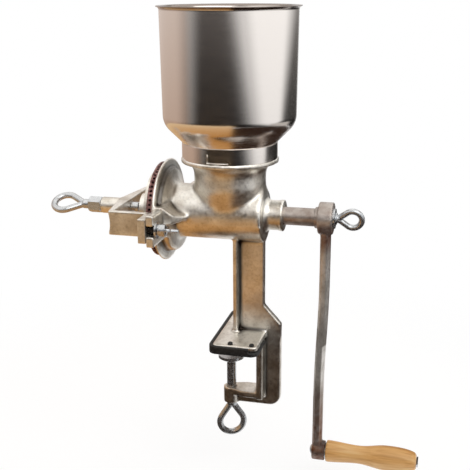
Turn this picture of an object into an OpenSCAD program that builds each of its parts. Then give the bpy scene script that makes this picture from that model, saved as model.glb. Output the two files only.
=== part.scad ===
// Hand grain mill: a cast body with a clamp foot, a pair of burrs, a crank and a lift-off hopper.
// The origin is on the clamp screw axis, in the face of the jaw pad that rests on the table.
// +X runs along the shaft towards the crank, +Y away from the front, +Z up. Lengths are millimetres.

/* [Shaft line] */
// Height of the shaft axis above the table face
shaft_height = 134; // [126:1:150]
// Diameter of the main shaft
shaft_d = 18; // [16:0.5:20]
// Radial clearance of every turning fit
running_gap = 0.05; // [0.02:0.01:0.1]
// Clearance between pieces that pass or seat on each other
seat_gap = 0.3; // [0.2:0.05:0.5]

/* [Barrel] */
// Outer diameter of the barrel around the feed screw
barrel_d = 55; // [52:1:60]
// Bore of the barrel
barrel_bore_d = 44; // [38:1:46]
// Distance from the throat axis to the barrel's closed end
barrel_end = 37; // [36:1:46]
// Thickness of the closed end
end_wall = 7; // [5:0.5:10]
// Diameter of the bearing boss behind the closed end
boss_d = 30.2; // [26:0.2:34]
// Diameter of the bearing boss where it grows out of the barrel
boss_root_d = 36; // [34:1:50]
// Length of the tapered root of the bearing boss
boss_taper = 4.5; // [3:0.5:12]
// Whole length of the bearing boss
boss_len = 19; // [16:1:26]
// Width of the raised lip at the end of the bearing boss
boss_lip_w = 4; // [2:0.5:6]
// How far that lip stands proud
boss_lip_h = 0.8; // [0.4:0.1:2]

/* [Burr flange] */
// Distance from the throat axis to the face of the burr flange
flange_reach = 67; // [62:1:78]
// Diameter of the burr flange
flange_d = 105; // [100:1:108]
// Thickness of the burr flange
flange_t = 3; // [3:0.5:5]
// Diameter at the bottom of the groove behind the flange
groove_d = 82; // [78:1:84]
// Width of the groove behind the flange
groove_w = 1.5; // [1:0.5:2.5]
// Diameter of the bell behind the groove
bell_d = 86; // [85:1:92]
// Width of the straight part of the bell
bell_w = 2; // [1:0.5:4]
// Length of the hollow curve from the bell down to the barrel
bell_slope = 10; // [8:0.5:12]
// Diameter of the wider lower half of the bell
lower_bell_d = 84; // [80:1:85]
// Width of that lower half
lower_bell_w = 9.5; // [7:0.5:11]

/* [Ears] */
// Distance between the two bridge bolts
bolt_span = 137; // [134:1:150]
// Diameter of the bridge bolts
bolt_d = 8; // [6:0.5:9]
// How far the bridge and the ears sit below the shaft axis
bridge_drop = 3; // [0:0.5:5]
// Distance from the flange face back to the ears' front
ear_setback = 3.5; // [2:0.5:6]
// Thickness of the slotted ears along the shaft
ear_t = 8; // [6:0.5:10]
// Height of the ears
ear_h = 31; // [26:1:38]
// How far the ears reach past the bolt axis
ear_reach = 9.5; // [7:0.5:14]
// Width of the open slot in each ear
slot_w = 10; // [9.6:0.1:12]
// Length of the swept gusset behind each ear
gusset_len = 20; // [14:1:22]
// Height of the gusset above the shaft axis at the ear
gusset_h = 14; // [9:1:15]
// Height of the gusset's thin end above the shaft axis
gusset_tip = 2; // [1:0.5:4]
// Free space kept round each bolt for the wing nut
nut_room = 18.5; // [18:0.5:24]

/* [Throat] */
// Height of the throat ring's underside above the shaft axis
ring_height = 53.5; // [46:0.5:64]
// Diameter of the throat ring
ring_d = 97.4; // [96.4:0.2:110]
// Thickness of the throat ring
ring_t = 4; // [3:0.5:8]
// Diameter of the throat's neck
neck_d = 72; // [66:1:80]
// Height of the hollow curve between neck and ring
neck_flare = 12; // [8:1:16]
// Wall of the throat's neck
throat_wall = 5; // [4:0.5:7]
// Diameter of the passage into the barrel
passage_d = 40; // [32:1:42]
// Height of the spigot that the hopper sits on
spigot_h = 9; // [6:0.5:10.5]
// Wall of the spigot
spigot_wall = 4; // [3:0.5:6]

/* [Hopper] */
// Outer diameter of the bowl just under the rim
bowl_top_d = 134; // [126:1:140]
// Outer diameter of the bowl at the top of its shoulder
bowl_base_d = 131.6; // [122:0.2:133]
// Height of the straight bowl wall
bowl_wall_h = 99; // [60:1:130]
// Radius of the shoulder
shoulder_r = 20; // [10:1:26]
// Slope of the cone under the shoulder, from level
cone_angle = 45; // [35:1:55]
// Radius of the flare at the rim
lip_r = 3; // [2:0.5:4]
// Thickness of the sheet
sheet_t = 1; // [0.8:0.1:1.4]
// Outer diameter of the collar
collar_d = 95.4; // [92:0.2:96]
// Height of the collar
collar_h = 15.5; // [15:0.5:24]
// Length of the bowl's neck inside the collar
bowl_neck_h = 4; // [3:0.5:4]
// Width of the lanced slit in the collar
slit_w = 1.4; // [1:0.1:2]
// Angle that the level leg of the slit covers
slit_sweep = 25; // [15:1:40]
// Height of the upright leg of the slit
slit_h = 9; // [5:0.5:10]

/* [Burrs and rotor] */
// Diameter of both burrs
burr_d = 97; // [90:1:98]
// Thickness of each burr
burr_t = 3; // [3:0.5:6]
// Depth of the furrows in each burr
furrow_depth = 1.2; // [0.8:0.1:1.6]
// Number of furrows round each burr
furrow_count = 64; // [32:2:72]
// Radial length of the furrows
furrow_len = 14; // [8:1:18]
// Gap between the burrs at rest
grind_gap = 0.3; // [0.2:0.1:0.6]
// Diameter of the hole in the turning burr
turning_eye_d = 30; // [28:1:34]
// Thickness of the plate that carries the turning burr
rotor_plate_t = 6; // [4:0.5:8]
// Diameter of that plate
rotor_plate_d = 80; // [72:1:94]
// Diameter of the rotor plate's hub
rotor_hub_d = 30; // [26:1:34]
// Length of the rotor plate's hub
rotor_hub_len = 14; // [11:1:17]
// Diameter of the thrust ball
ball_d = 10; // [7:0.5:10]
// Diameter of the cross pin that drives the rotor plate
drive_pin_d = 5; // [4:0.5:6]
// Diameter of the burr screws
burr_screw_d = 4; // [3:0.5:4.5]
// Depth of each burr screw in what it holds to
burr_screw_grip = 5; // [3:0.5:5]
// Depth of the screw heads under the working faces
screw_sink = 0.6; // [0.4:0.1:1.2]

/* [Feed screw] */
// Outer diameter of the feed screw's flight
flight_d = 43; // [32:0.5:43.2]
// Diameter of the feed screw's core
flight_core_d = 24; // [22:1:28]
// Thickness of the flight
flight_t = 6; // [4:0.5:8]
// Pitch of the flight
flight_pitch = 36; // [24:1:48]

/* [Bridge] */
// Thickness of the bridge legs
bridge_t = 6; // [5:0.5:6.5]
// Height of the legs and the crossbar
bridge_h = 24; // [20:1:30]
// Distance between the outer faces of the bridge legs
bridge_w = 112; // [111:1:118]
// Length of the legs from foot face to corner
leg_len = 47; // [46:0.5:56]
// Thickness of the crossbar at its ends
bar_end_t = 4; // [3.5:0.5:8]
// How much thicker the crossbar is in the middle
bridge_bow = 8; // [5:0.5:14]
// Depth of the hollow along the crossbar's outer face
bar_hollow = 1.7; // [1:0.1:2]
// Radius of the bridge's outer corners
bridge_corner_r = 2; // [1:0.5:2.5]
// Thickness of the feet along the shaft
foot_t = 8; // [6:0.5:10]
// Diameter of the screw boss in the middle of the bridge
bridge_boss_d = 17; // [15:0.5:22]
// Length of the screw boss past the crossbar
bridge_boss_len = 20.5; // [12:0.5:26]

/* [Eye screws] */
// Diameter of the adjusting screw and of the clamp screw
screw_d = 10; // [8:0.5:10.5]
// Diameter of the rod that the eyes are bent from
eye_rod_d = 7; // [5:0.2:7.2]
// Length of the adjusting screw's eye
adjust_eye_len = 38; // [32:1:46]
// Width of the adjusting screw's eye
adjust_eye_w = 31; // [26:1:36]
// Turn of the adjusting screw's eye about its axis
adjust_eye_turn = 117; // [0:1:179]
// Length of bare thread between lock nut and eye
adjust_neck = 7; // [4:1:14]
// Length of the clamp screw's eye
clamp_eye_len = 40; // [34:1:46]
// Width of the clamp screw's eye
clamp_eye_w = 33; // [26:1:38]
// Turn of the clamp screw's eye about its axis
clamp_eye_turn = 22; // [0:1:179]
// Length of the lock nut
lock_nut_len = 14; // [8:1:16]
// Width of the lock nut across its flats
lock_nut_af = 15; // [14.5:0.5:19]

/* [Wing nuts] */
// Thickness of the washers under the wing nuts
washer_t = 1.6; // [1:0.1:2.5]
// Diameter of those washers
washer_d = 17; // [14.5:0.5:20]
// Diameter of a wing nut's hub
wing_hub_d = 12; // [11.5:0.5:14]
// Length of a wing nut's hub
wing_hub_len = 8; // [7:0.5:12]
// Distance from the bolt axis to a wing's tip
wing_reach = 17; // [14:0.5:17]
// How far the wings flare past the hub
wing_flare = 9; // [6:0.5:12]
// Thickness of the wings
wing_t = 3; // [2:0.5:4]
// Turn of the wings about the bolt
wing_turn = 17; // [0:1:90]

/* [Crank] */
// Distance from the bearing boss to the crank hub
crank_gap = 30.6; // [26:0.2:40]
// Diameter of the crank hub
crank_hub_d = 32; // [30:1:38]
// Length of the crank hub
crank_hub_len = 14.4; // [12:0.2:18]
// Diameter of the narrow step on the inner side of the crank hub
crank_step_d = 21.4; // [21:0.2:28]
// Length of that step
crank_step_len = 4; // [2:0.5:6]
// Depth of the flat that keys the crank to the shaft
key_flat = 2; // [1:0.5:3]
// Distance from the shaft to the grip's axis
crank_r = 258; // [200:1:280]
// Thickness of the crank arm
arm_t = 6.5; // [5:0.5:9]
// Width of the crank arm at the hub
arm_top_w = 18; // [15:0.5:24]
// Width of the crank arm at the grip
arm_bottom_w = 14; // [11:0.5:17]
// Sideways step of the crank arm between hub and grip
arm_step = 3.5; // [2:0.5:8]
// Height of the rib along the middle of the arm
arm_rib_h = 1.8; // [0.8:0.2:2.4]
// Width of that rib
arm_rib_w = 8; // [4:0.5:9]
// Diameter of the boss that holds the grip pin
pin_boss_d = 21; // [17:0.5:26]
// Length of that boss
pin_boss_len = 13.6; // [11:0.2:18]
// How far that boss stands off the arm's middle towards the grip
pin_boss_shift = 1.8; // [0:0.2:3]

/* [Crank screw] */
// Diameter of the crank screw
crank_screw_d = 8; // [6:0.5:8.5]
// Depth of the crank screw in the shaft
crank_screw_depth = 18; // [12:1:24]
// Diameter of the washer under the crank screw
crank_washer_d = 20; // [16:0.5:24]
// Thickness of that washer
crank_washer_t = 2; // [1.5:0.1:3]
// Length of the crank screw's eye
crank_eye_len = 27; // [25:1:34]
// Width of the crank screw's eye
crank_eye_w = 24; // [22:1:28]
// Turn of the crank screw's eye about the shaft
crank_eye_turn = 12; // [0:1:179]
// Diameter of the rod that this eye is bent from
crank_eye_rod_d = 6.2; // [4:0.2:6.4]

/* [Grip] */
// Length of the wooden grip
grip_len = 94.5; // [80:0.5:120]
// Diameter of the grip at the crank
grip_start_d = 22.8; // [19:0.2:28]
// Diameter of the grip's waist
grip_waist_d = 18.8; // [16:0.2:22]
// Diameter of the grip's swell
grip_swell_d = 26; // [22:0.2:32]
// Diameter of the grip's rounded end
grip_end_d = 13.8; // [13:0.2:18]
// Diameter of the grip pin
grip_pin_d = 7; // [5:0.5:8]
// Diameter of the grip pin's heads
pin_head_d = 11; // [10:0.5:12.5]
// Thickness of the grip pin's heads
pin_head_t = 3; // [2:0.5:4]
// Thickness of the washer between crank and grip
grip_washer_t = 1.2; // [0.8:0.1:2]

/* [Post] */
// Distance from the clamp axis to the post's flange
post_face = 5; // [2:0.5:8]
// Thickness of the post's flange
post_flange_t = 5; // [4:0.5:7]
// Width of the post's flange
post_flange_w = 26; // [20:1:36]
// Thickness of the web of post and clamp frame
web_t = 8; // [6:0.5:12]
// Distance from the clamp axis to the web's outer edge on the post
post_edge = 36; // [34:0.5:44]

/* [Clamp frame] */
// How far the jaw reaches past the clamp axis
jaw_reach = 8; // [6:1:14]
// Distance from the clamp axis to the jaw's inner end
jaw_end = 38.5; // [37.5:0.5:44]
// Width of the jaw
jaw_w = 98; // [70:1:110]
// Thickness of the jaw
jaw_t = 5; // [4.6:0.2:9]
// Corner radius of the jaw
jaw_corner_r = 5; // [3:0.5:7]
// Height of the clamp's mouth under the table face
mouth_h = 59; // [50:1:66]
// Distance from the clamp axis to the back of the mouth
mouth_depth = 30; // [26:0.5:31]
// Thickness of the flange round the mouth
mouth_flange_t = 7; // [5:0.5:7.5]
// Width of the flange round the mouth
mouth_flange_w = 30; // [22:1:34]
// Width of the flange on the lower arm
arm_flange_w = 24; // [20:1:30]
// Depth of the lower arm
arm_depth = 16.5; // [14:0.5:24]
// Distance from the clamp axis to the frame's back edge
frame_back = 54; // [50:1:60]
// Height where the frame starts to widen
widen_top = 37.5; // [36:0.5:60]
// Height where the frame is at its full width
widen_bottom = 17.5; // [10:0.5:30]
// Radius of the frame's lower back corner
frame_corner_r = 12; // [6:1:16]
// Diameter of the threaded boss for the clamp screw
clamp_boss_d = 17; // [15:0.5:24]
// How far that boss hangs below the arm
clamp_boss_drop = 1.5; // [0.5:0.5:6]

/* [Clamp pieces] */
// Thickness of the rubber jaw pad
pad_t = 4; // [3:0.5:8]
// How far the pad stands out past the jaw
pad_lip = 3.5; // [2.5:0.5:6]
// Height of the pad's lip round the jaw
pad_lip_h = 4.3; // [2:0.1:4.5]
// How far the pad runs past the jaw's inner end
pad_tail = 1.5; // [0.5:0.5:4]
// Diameter of the nubs that hold the pad in the jaw
nub_d = 5; // [4:0.5:6]
// How far the nubs stand out of the jaw
nub_h = 1.6; // [1:0.2:3]
// Distance of the nubs from the jaw's long edges
nub_inset = 6; // [5:0.5:12]
// Diameter of the swivel pad on the clamp screw
swivel_d = 28; // [20:1:34]
// Thickness of the swivel pad
swivel_t = 7; // [6:0.5:10]
// Depth of the screw's seat in the swivel pad
swivel_seat = 4.5; // [3:0.5:5]
// Gap left between jaw pad and swivel pad at rest
clamp_gap = 22; // [17:1:26]

/* [Hidden] */
$fn = 64;

// Overlap that keeps cuts and unions clear of shared faces
bite = 1;
// Sides and rings of the bent rods
rod_sides = 10;
rod_arc_steps = 14;

// Throat and hopper
ring_z = shaft_height + ring_height;
collar_z = ring_z + ring_t;
collar_top_z = collar_z + collar_h;
collar_r = collar_d/2;
spigot_r = collar_r - sheet_t - seat_gap;
bowl_neck_r = collar_r - sheet_t - running_gap;
shoulder_turn_r = bowl_base_d/2 - shoulder_r + shoulder_r*sin(cone_angle);
cone_drop = (shoulder_turn_r - bowl_neck_r)*tan(cone_angle);
shoulder_z = collar_top_z + cone_drop + shoulder_r*cos(cone_angle);
lip_z = shoulder_z + bowl_wall_h;

// Burr stack, from the flange towards the adjusting screw
flange_x = -flange_reach;
bell_x = flange_x + flange_t + groove_w;
fixed_burr_x = flange_x - burr_t;
turning_burr_x = fixed_burr_x - grind_gap - burr_t;
rotor_plate_x = turning_burr_x - rotor_plate_t;
rotor_hub_x = rotor_plate_x - rotor_hub_len;
ball_x = rotor_hub_x;
screw_tip_x = ball_x - ball_d/2 - running_gap;
burr_screw_r = (turning_eye_d/2 + burr_d/2 - furrow_len)/2;
fixed_screw_r = (barrel_bore_d/2 + burr_d/2 - furrow_len)/2;
screw_head_d = burr_screw_d*1.5;
screw_head_t = burr_screw_d*0.35;

// Ears and bridge
bridge_z = shaft_height - bridge_drop;
ear_x = flange_x + ear_setback;
ear_back_x = ear_x + ear_t;
bolt_y = bolt_span/2;
wing_tip_r = wing_hub_len/2;
bolt_end_x = ear_back_x + washer_t + wing_hub_len - bite/2;
foot_x = ear_x - foot_t;
corner_x = ear_x - leg_len;
bar_inner_x = corner_x + bar_end_t;
bridge_mid_x = corner_x - bridge_bow;
bridge_boss_x = bridge_mid_x - bridge_boss_len;

// Shaft end and crank
boss_end = barrel_end + boss_len;
crank_step_x = boss_end + crank_gap;
crank_hub_x = crank_step_x + crank_step_len;
crank_face_x = crank_hub_x + crank_hub_len;
shaft_end_x = crank_face_x - 1;
arm_top_x = crank_hub_x + crank_hub_len/2 - arm_t/2;
arm_bottom_x = arm_top_x - arm_step;
grip_z = shaft_height - crank_r;
pin_boss_x = arm_bottom_x + arm_t/2 - pin_boss_len/2 + pin_boss_shift;
grip_washer_x = pin_boss_x + pin_boss_len;
grip_x = grip_washer_x + grip_washer_t + seat_gap;
grip_end_x = grip_x + grip_len;
crank_washer_x = crank_face_x;
crank_collar_x = crank_washer_x + crank_washer_t;

// Clamp frame
jaw_bottom_z = pad_t;
jaw_top_z = jaw_bottom_z + jaw_t;
mouth_z = -mouth_h;
frame_bottom_z = mouth_z - arm_depth;
swivel_top_z = -clamp_gap;
swivel_bottom_z = swivel_top_z - swivel_t;
clamp_screw_top_z = swivel_bottom_z + swivel_seat;
clamp_boss_z = frame_bottom_z - clamp_boss_drop;
clamp_neck_z = clamp_boss_z - seat_gap;
nub_xs = [post_face + post_flange_t, jaw_end - nub_inset - 0.5];

// Points on an arc, from one angle to another
function arc(cx, cy, r, from, to, steps) =
    [for (i = [0:steps]) let (a = from + (to - from)*i/steps) [cx + r*cos(a), cy + r*sin(a)]];

// A smooth rise from 0 to 1
function ease(t) = (1 - cos(180*t))/2;

// The shaft's own frame: local Z runs along the shaft, from x = 0
module on_shaft() {
    translate([0, 0, shaft_height]) rotate([0, 90, 0]) children();
}

// A round bar along the shaft direction between two x values
module bar_x(from, to, r) {
    translate([from, 0, 0]) rotate([0, 90, 0]) cylinder(r = r, h = to - from);
}

// A plate with an outline in x and z, centred on y
module plate_xz(points, t) {
    translate([0, t/2, 0]) rotate([90, 0, 0]) linear_extrude(t) polygon(points);
}

// A block between two corners
module block(low, high) {
    translate(low) cube(high - low);
}

// Half of a teardrop eye as a swept rod: path points and direction angles in the eye's plane
module swept_rod(path, headings, r) {
    n = len(path);
    rings = [
        for (i = [0:n - 1], k = [0:rod_sides - 1])
            let (a = 360*k/rod_sides, u = r*cos(a))
            [path[i][0] - u*sin(headings[i]), r*sin(a), path[i][1] + u*cos(headings[i])]
    ];
    function at(i, k) = i*rod_sides + k % rod_sides;
    sides = [
        for (i = [0:n - 2], k = [0:rod_sides - 1])
            each [[at(i, k), at(i, k + 1), at(i + 1, k)],
                  [at(i, k + 1), at(i + 1, k + 1), at(i + 1, k)]]
    ];
    start_cap = [for (k = [0:rod_sides - 1]) at(0, rod_sides - 1 - k)];
    end_cap = [for (k = [0:rod_sides - 1]) at(n - 1, k)];
    polyhedron(points = rings, faces = concat(sides, [start_cap, end_cap]), convexity = 6);
}

// A teardrop eye that hangs from the origin along +Z, in the XZ plane
module eye(eye_len, eye_w, rod_d) {
    bend_r = (eye_w - rod_d)/2;
    bend_z = eye_len - rod_d/2 - bend_r;
    open = asin(bend_r/bend_z);
    leg = sqrt(bend_z*bend_z - bend_r*bend_r);
    bend = [for (i = [0:rod_arc_steps]) let (a = -open + (90 + open)*i/rod_arc_steps)
        [bend_r*cos(a), bend_z + bend_r*sin(a)]];
    turns = [for (i = [0:rod_arc_steps]) let (a = -open + (90 + open)*i/rod_arc_steps) 90 + a];
    path = concat([[0, 0], [leg*sin(open)/2, leg*cos(open)/2]], bend);
    headings = concat([90 - open, 90 - open], turns);
    for (side = [0, 1]) mirror([side, 0, 0]) swept_rod(path, headings, rod_d/2);
}

// Body

module barrel_solid() {
    r = barrel_d/2;
    on_shaft() rotate_extrude() polygon([
        [0, flange_x],
        [flange_d/2, flange_x],
        [flange_d/2, flange_x + flange_t],
        [groove_d/2, flange_x + flange_t],
        [groove_d/2, flange_x + flange_t + groove_w],
        [bell_d/2, bell_x],
        each [for (i = [0:6]) let (t = i/6)
            [r + (bell_d/2 - r)*pow(1 - t, 3), bell_x + bell_w + bell_slope*t]],
        [r, barrel_end],
        [boss_root_d/2, barrel_end],
        [boss_d/2, barrel_end + boss_taper],
        [boss_d/2, boss_end - boss_lip_w],
        [boss_d/2 + boss_lip_h, boss_end - boss_lip_w],
        [boss_d/2 + boss_lip_h, boss_end],
        [0, boss_end]
    ]);
}

// The bell is wider below the shaft, where the ground meal falls
module lower_bell() {
    r = lower_bell_d/2;
    back = bell_x + lower_bell_w;
    on_shaft() rotate([0, 0, -90]) rotate_extrude(angle = 180) polygon([
        [0, bell_x], [r, bell_x], [r, back - 2], [r - 2, back],
        [barrel_d/2 + 3, back + 1], [barrel_d/2 - 1, back + 4], [0, back + 4]
    ]);
}

module throat_solid() {
    flare_r = ring_d/2 - neck_d/2;
    rotate_extrude() polygon(concat(
        [[0, shaft_height], [barrel_d/2 - 4, shaft_height], [neck_d/2, shaft_height + barrel_d/2]],
        [for (i = [0:6]) let (t = i/6)
            [neck_d/2 + (flare_r - 1)*(1 - cos(90*t)), ring_z - neck_flare*(1 - sin(90*t))]],
        [[ring_d/2, ring_z], [ring_d/2, collar_z], [spigot_r, collar_z],
         [spigot_r, collar_z + spigot_h], [0, collar_z + spigot_h]]
    ));
}

module throat_passage() {
    spigot_bore_r = spigot_r - spigot_wall;
    rotate_extrude() polygon([
        [0, shaft_height],
        [passage_d/2, shaft_height],
        [passage_d/2, shaft_height + barrel_d/4],
        [neck_d/2 - throat_wall, ring_z - neck_flare],
        [neck_d/2 - throat_wall + 3, ring_z - neck_flare*0.3],
        [spigot_bore_r, collar_z],
        [spigot_bore_r, collar_z + spigot_h + bite],
        [0, collar_z + spigot_h + bite]
    ]);
}

// Gusset behind an ear: its top sweeps down from the ear to a thin end beside the barrel
module ear_gusset() {
    end_x = ear_back_x + gusset_len;
    outer_y = bolt_y - nut_room;
    intersection() {
        translate([0, 0, shaft_height]) plate_xz(concat(
            [[flange_x + flange_t/2, -gusset_h/2], [end_x, -gusset_tip]],
            [for (i = [6:-1:0]) let (t = i/6)
                [ear_back_x + gusset_len*t, gusset_tip + (gusset_h - gusset_tip)*pow(1 - t, 2)]],
            [[flange_x + flange_t/2, gusset_h]]
        ), 2*bolt_span);
        linear_extrude(2*shaft_height) polygon([
            [flange_x + flange_t/2, barrel_bore_d/2 + 2],
            [end_x, barrel_bore_d/2 + 2],
            [end_x, barrel_d/2],
            [ear_back_x + gusset_len*0.4, outer_y - 4],
            [ear_back_x, outer_y],
            [ear_x, outer_y],
            [ear_x, groove_d/2],
            [flange_x + flange_t/2, groove_d/2]
        ]);
    }
}

// One slotted ear with its gusset, on the far side
module ear() {
    difference() {
        union() {
            block([ear_x, groove_d/4, bridge_z - ear_h/2],
                  [ear_back_x, bolt_y + ear_reach, bridge_z + ear_h/2]);
            ear_gusset();
        }
        translate([0, bolt_y, bridge_z]) bar_x(ear_x - bite, ear_back_x + bite, slot_w/2);
        block([ear_x - bite, bolt_y, bridge_z - slot_w/2],
              [ear_back_x + bite, bolt_y + ear_reach + bite, bridge_z + slot_w/2]);
    }
}

module post_and_frame() {
    // Web of post and clamp frame in one plate
    plate_xz(concat(
        [[post_face + bite, shaft_height],
         [post_face + bite, jaw_bottom_z + bite],
         [mouth_depth + bite, jaw_bottom_z + bite],
         [mouth_depth + bite, mouth_z - bite],
         [0, mouth_z - bite],
         [0, frame_bottom_z]],
        arc(frame_back - frame_corner_r, frame_bottom_z + frame_corner_r, frame_corner_r, -90, 0, 8),
        [[frame_back, widen_bottom], [post_edge, widen_top], [post_edge, shaft_height]]
    ), web_t);
    // Flange along the post
    block([post_face, -post_flange_w/2, jaw_bottom_z + bite],
          [post_face + post_flange_t, post_flange_w/2, shaft_height - barrel_d/4]);
    // Flange at the back of the mouth
    block([mouth_depth, -mouth_flange_w/2, mouth_z - mouth_flange_t],
          [mouth_depth + mouth_flange_t, mouth_flange_w/2, jaw_bottom_z + bite]);
    // Flange on the lower arm, narrower towards the screw boss
    translate([0, 0, mouth_z - mouth_flange_t]) linear_extrude(mouth_flange_t) polygon([
        [0, -clamp_boss_d/2 + bite],
        [clamp_boss_d*0.8, -arm_flange_w/2],
        [mouth_depth + bite, -arm_flange_w/2],
        [mouth_depth + bite, arm_flange_w/2],
        [clamp_boss_d*0.8, arm_flange_w/2],
        [0, clamp_boss_d/2 - bite]
    ]);
    translate([0, 0, clamp_boss_z]) cylinder(d = clamp_boss_d, h = mouth_z - clamp_boss_z);
}

module jaw_outline(grow, end) {
    r = jaw_corner_r + grow;
    x0 = -jaw_reach - grow + r;
    y0 = jaw_w/2 + grow - r;
    polygon(concat(
        arc(x0, -y0, r, 180, 270, 6),
        arc(end - r, -y0, r, 270, 360, 6),
        arc(end - r, y0, r, 0, 90, 6),
        arc(x0, y0, r, 90, 180, 6)
    ));
}

// Places of the pad's nubs in the jaw
module at_nubs() {
    for (x = nub_xs, y = [-1, 1]*(jaw_w/2 - nub_inset)) translate([x, y, 0]) children();
}

module body_casting() color("gainsboro") difference() {
    union() {
        barrel_solid();
        throat_solid();
        lower_bell();
        for (side = [0, 1]) mirror([0, side, 0]) ear();
        post_and_frame();
        translate([0, 0, jaw_bottom_z]) linear_extrude(jaw_t) jaw_outline(0, jaw_end);
    }
    throat_passage();
    on_shaft() translate([0, 0, flange_x - bite])
        cylinder(d = barrel_bore_d, h = barrel_end - end_wall - flange_x + bite);
    on_shaft() cylinder(r = shaft_d/2 + running_gap, h = boss_end + bite);
    fixed_screw_places() translate([0, 0, -bite])
        cylinder(d = burr_screw_d, h = burr_screw_grip + seat_gap + bite);
    translate([0, 0, clamp_boss_z - bite])
        cylinder(r = screw_d/2 + running_gap, h = mouth_z - clamp_boss_z + 2*bite);
    at_nubs() translate([0, 0, jaw_bottom_z - bite]) cylinder(d = nub_d + 2*running_gap, h = jaw_t + 2*bite);
}

// Hopper

module hopper_bowl() {
    outer = concat(
        [[bowl_neck_r, collar_top_z - bowl_neck_h], [bowl_neck_r, collar_top_z]],
        arc(bowl_base_d/2 - shoulder_r, shoulder_z, shoulder_r, -(90 - cone_angle), 0, 8),
        arc(bowl_top_d/2 + lip_r, lip_z, lip_r, 180, 90, 6)
    );
    inner = concat(
        arc(bowl_top_d/2 + lip_r, lip_z, lip_r + sheet_t, 90, 180, 6),
        arc(bowl_base_d/2 - shoulder_r, shoulder_z, shoulder_r - sheet_t, 0, -(90 - cone_angle), 8),
        [[bowl_neck_r - sheet_t, collar_top_z + sheet_t*tan(cone_angle/2)],
         [bowl_neck_r - sheet_t, collar_top_z - bowl_neck_h]]
    );
    color("lightgray") rotate_extrude($fn = 128) polygon(concat(outer, inner));
}

module hopper_collar() color("silver") difference() {
    translate([0, 0, collar_z]) difference() {
        cylinder(r = collar_r, h = collar_h, $fn = 128);
        translate([0, 0, -bite]) cylinder(r = collar_r - sheet_t, h = collar_h + 2*bite, $fn = 128);
    }
    // Lanced slit: an upright leg and a level leg that starts at its foot
    rotate([0, 0, -90 - slit_sweep/2]) {
        translate([collar_r - 2*sheet_t, -slit_w/2, collar_z + slit_w])
            cube([3*sheet_t, slit_w, slit_h]);
        translate([0, 0, collar_z + slit_w]) rotate_extrude(angle = slit_sweep)
            translate([collar_r - 2*sheet_t, 0]) square([3*sheet_t, slit_w]);
    }
}

// Burrs and rotor

// A burr as a plain disc under a layer of furrows, with its working face on top
module burr_blank(eye_d) {
    r = burr_d/2;
    tip = r - seat_gap;
    inner = r - furrow_len;
    step = 360/furrow_count;
    difference() {
        union() {
            cylinder(r = r, h = burr_t - furrow_depth, $fn = 128);
            translate([0, 0, burr_t - furrow_depth - bite]) linear_extrude(furrow_depth + bite) polygon([
                for (i = [0:furrow_count - 1])
                    each [for (p = [[inner, 0], [tip, 0], [tip, 0.5], [inner, 0.5]])
                        p[0]*[cos(step*(i + p[1])), sin(step*(i + p[1]))]]
            ]);
        }
        translate([0, 0, -bite]) cylinder(d = eye_d, h = burr_t + 2*bite);
    }
}

// Three places round the shaft
module three_round(x, r) {
    on_shaft() translate([0, 0, x]) for (a = [30, 150, 270])
        rotate([0, 0, a]) translate([r, 0, 0]) children();
}

module fixed_screw_places() three_round(flange_x, fixed_screw_r) children();
module turning_screw_places() three_round(turning_burr_x, burr_screw_r) children();

// A burr screw, drawn from its head face downwards, and the hole for it in a burr
module burr_screw() {
    translate([0, 0, -screw_head_t]) cylinder(d = screw_head_d, h = screw_head_t);
    translate([0, 0, -burr_t + screw_sink - burr_screw_grip])
        cylinder(d = burr_screw_d - 2*running_gap, h = burr_t - screw_sink + burr_screw_grip);
}

module burr_screw_hole() {
    translate([0, 0, -screw_head_t])
        cylinder(d = screw_head_d + 2*running_gap, h = screw_head_t + screw_sink + bite);
    translate([0, 0, -burr_t - bite]) cylinder(d = burr_screw_d, h = burr_t + bite);
}

module fixed_burr() color("saddlebrown") difference() {
    on_shaft() translate([0, 0, flange_x]) mirror([0, 0, 1]) burr_blank(barrel_bore_d);
    fixed_screw_places() mirror([0, 0, 1]) translate([0, 0, burr_t - screw_sink]) burr_screw_hole();
}

module fixed_burr_screws() color("dimgray") fixed_screw_places() mirror([0, 0, 1])
    translate([0, 0, burr_t - screw_sink]) burr_screw();

module turning_burr() color("saddlebrown") difference() {
    on_shaft() translate([0, 0, turning_burr_x]) burr_blank(turning_eye_d);
    turning_screw_places() translate([0, 0, burr_t - screw_sink]) burr_screw_hole();
}

module turning_burr_screws() color("dimgray") turning_screw_places()
    translate([0, 0, burr_t - screw_sink]) burr_screw();

module drive_pin_bar(play, over) {
    translate([rotor_hub_x + rotor_hub_len*0.6, 0, shaft_height - rotor_hub_d/2 - over])
        cylinder(d = drive_pin_d + 2*play, h = rotor_hub_d + 2*over);
}

module rotor_plate() color("lightgray") difference() {
    on_shaft() union() {
        translate([0, 0, rotor_plate_x]) cylinder(d = rotor_plate_d, h = rotor_plate_t);
        translate([0, 0, rotor_hub_x]) cylinder(d = rotor_hub_d, h = rotor_hub_len + bite);
    }
    on_shaft() translate([0, 0, rotor_hub_x - bite])
        cylinder(r = shaft_d/2 + running_gap, h = rotor_hub_len + rotor_plate_t + 2*bite);
    drive_pin_bar(running_gap, bite);
    turning_screw_places() translate([0, 0, -burr_screw_grip - seat_gap])
        cylinder(d = burr_screw_d, h = burr_screw_grip + seat_gap + bite);
}

module drive_pin() color("dimgray") drive_pin_bar(0, -bite/2);

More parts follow.
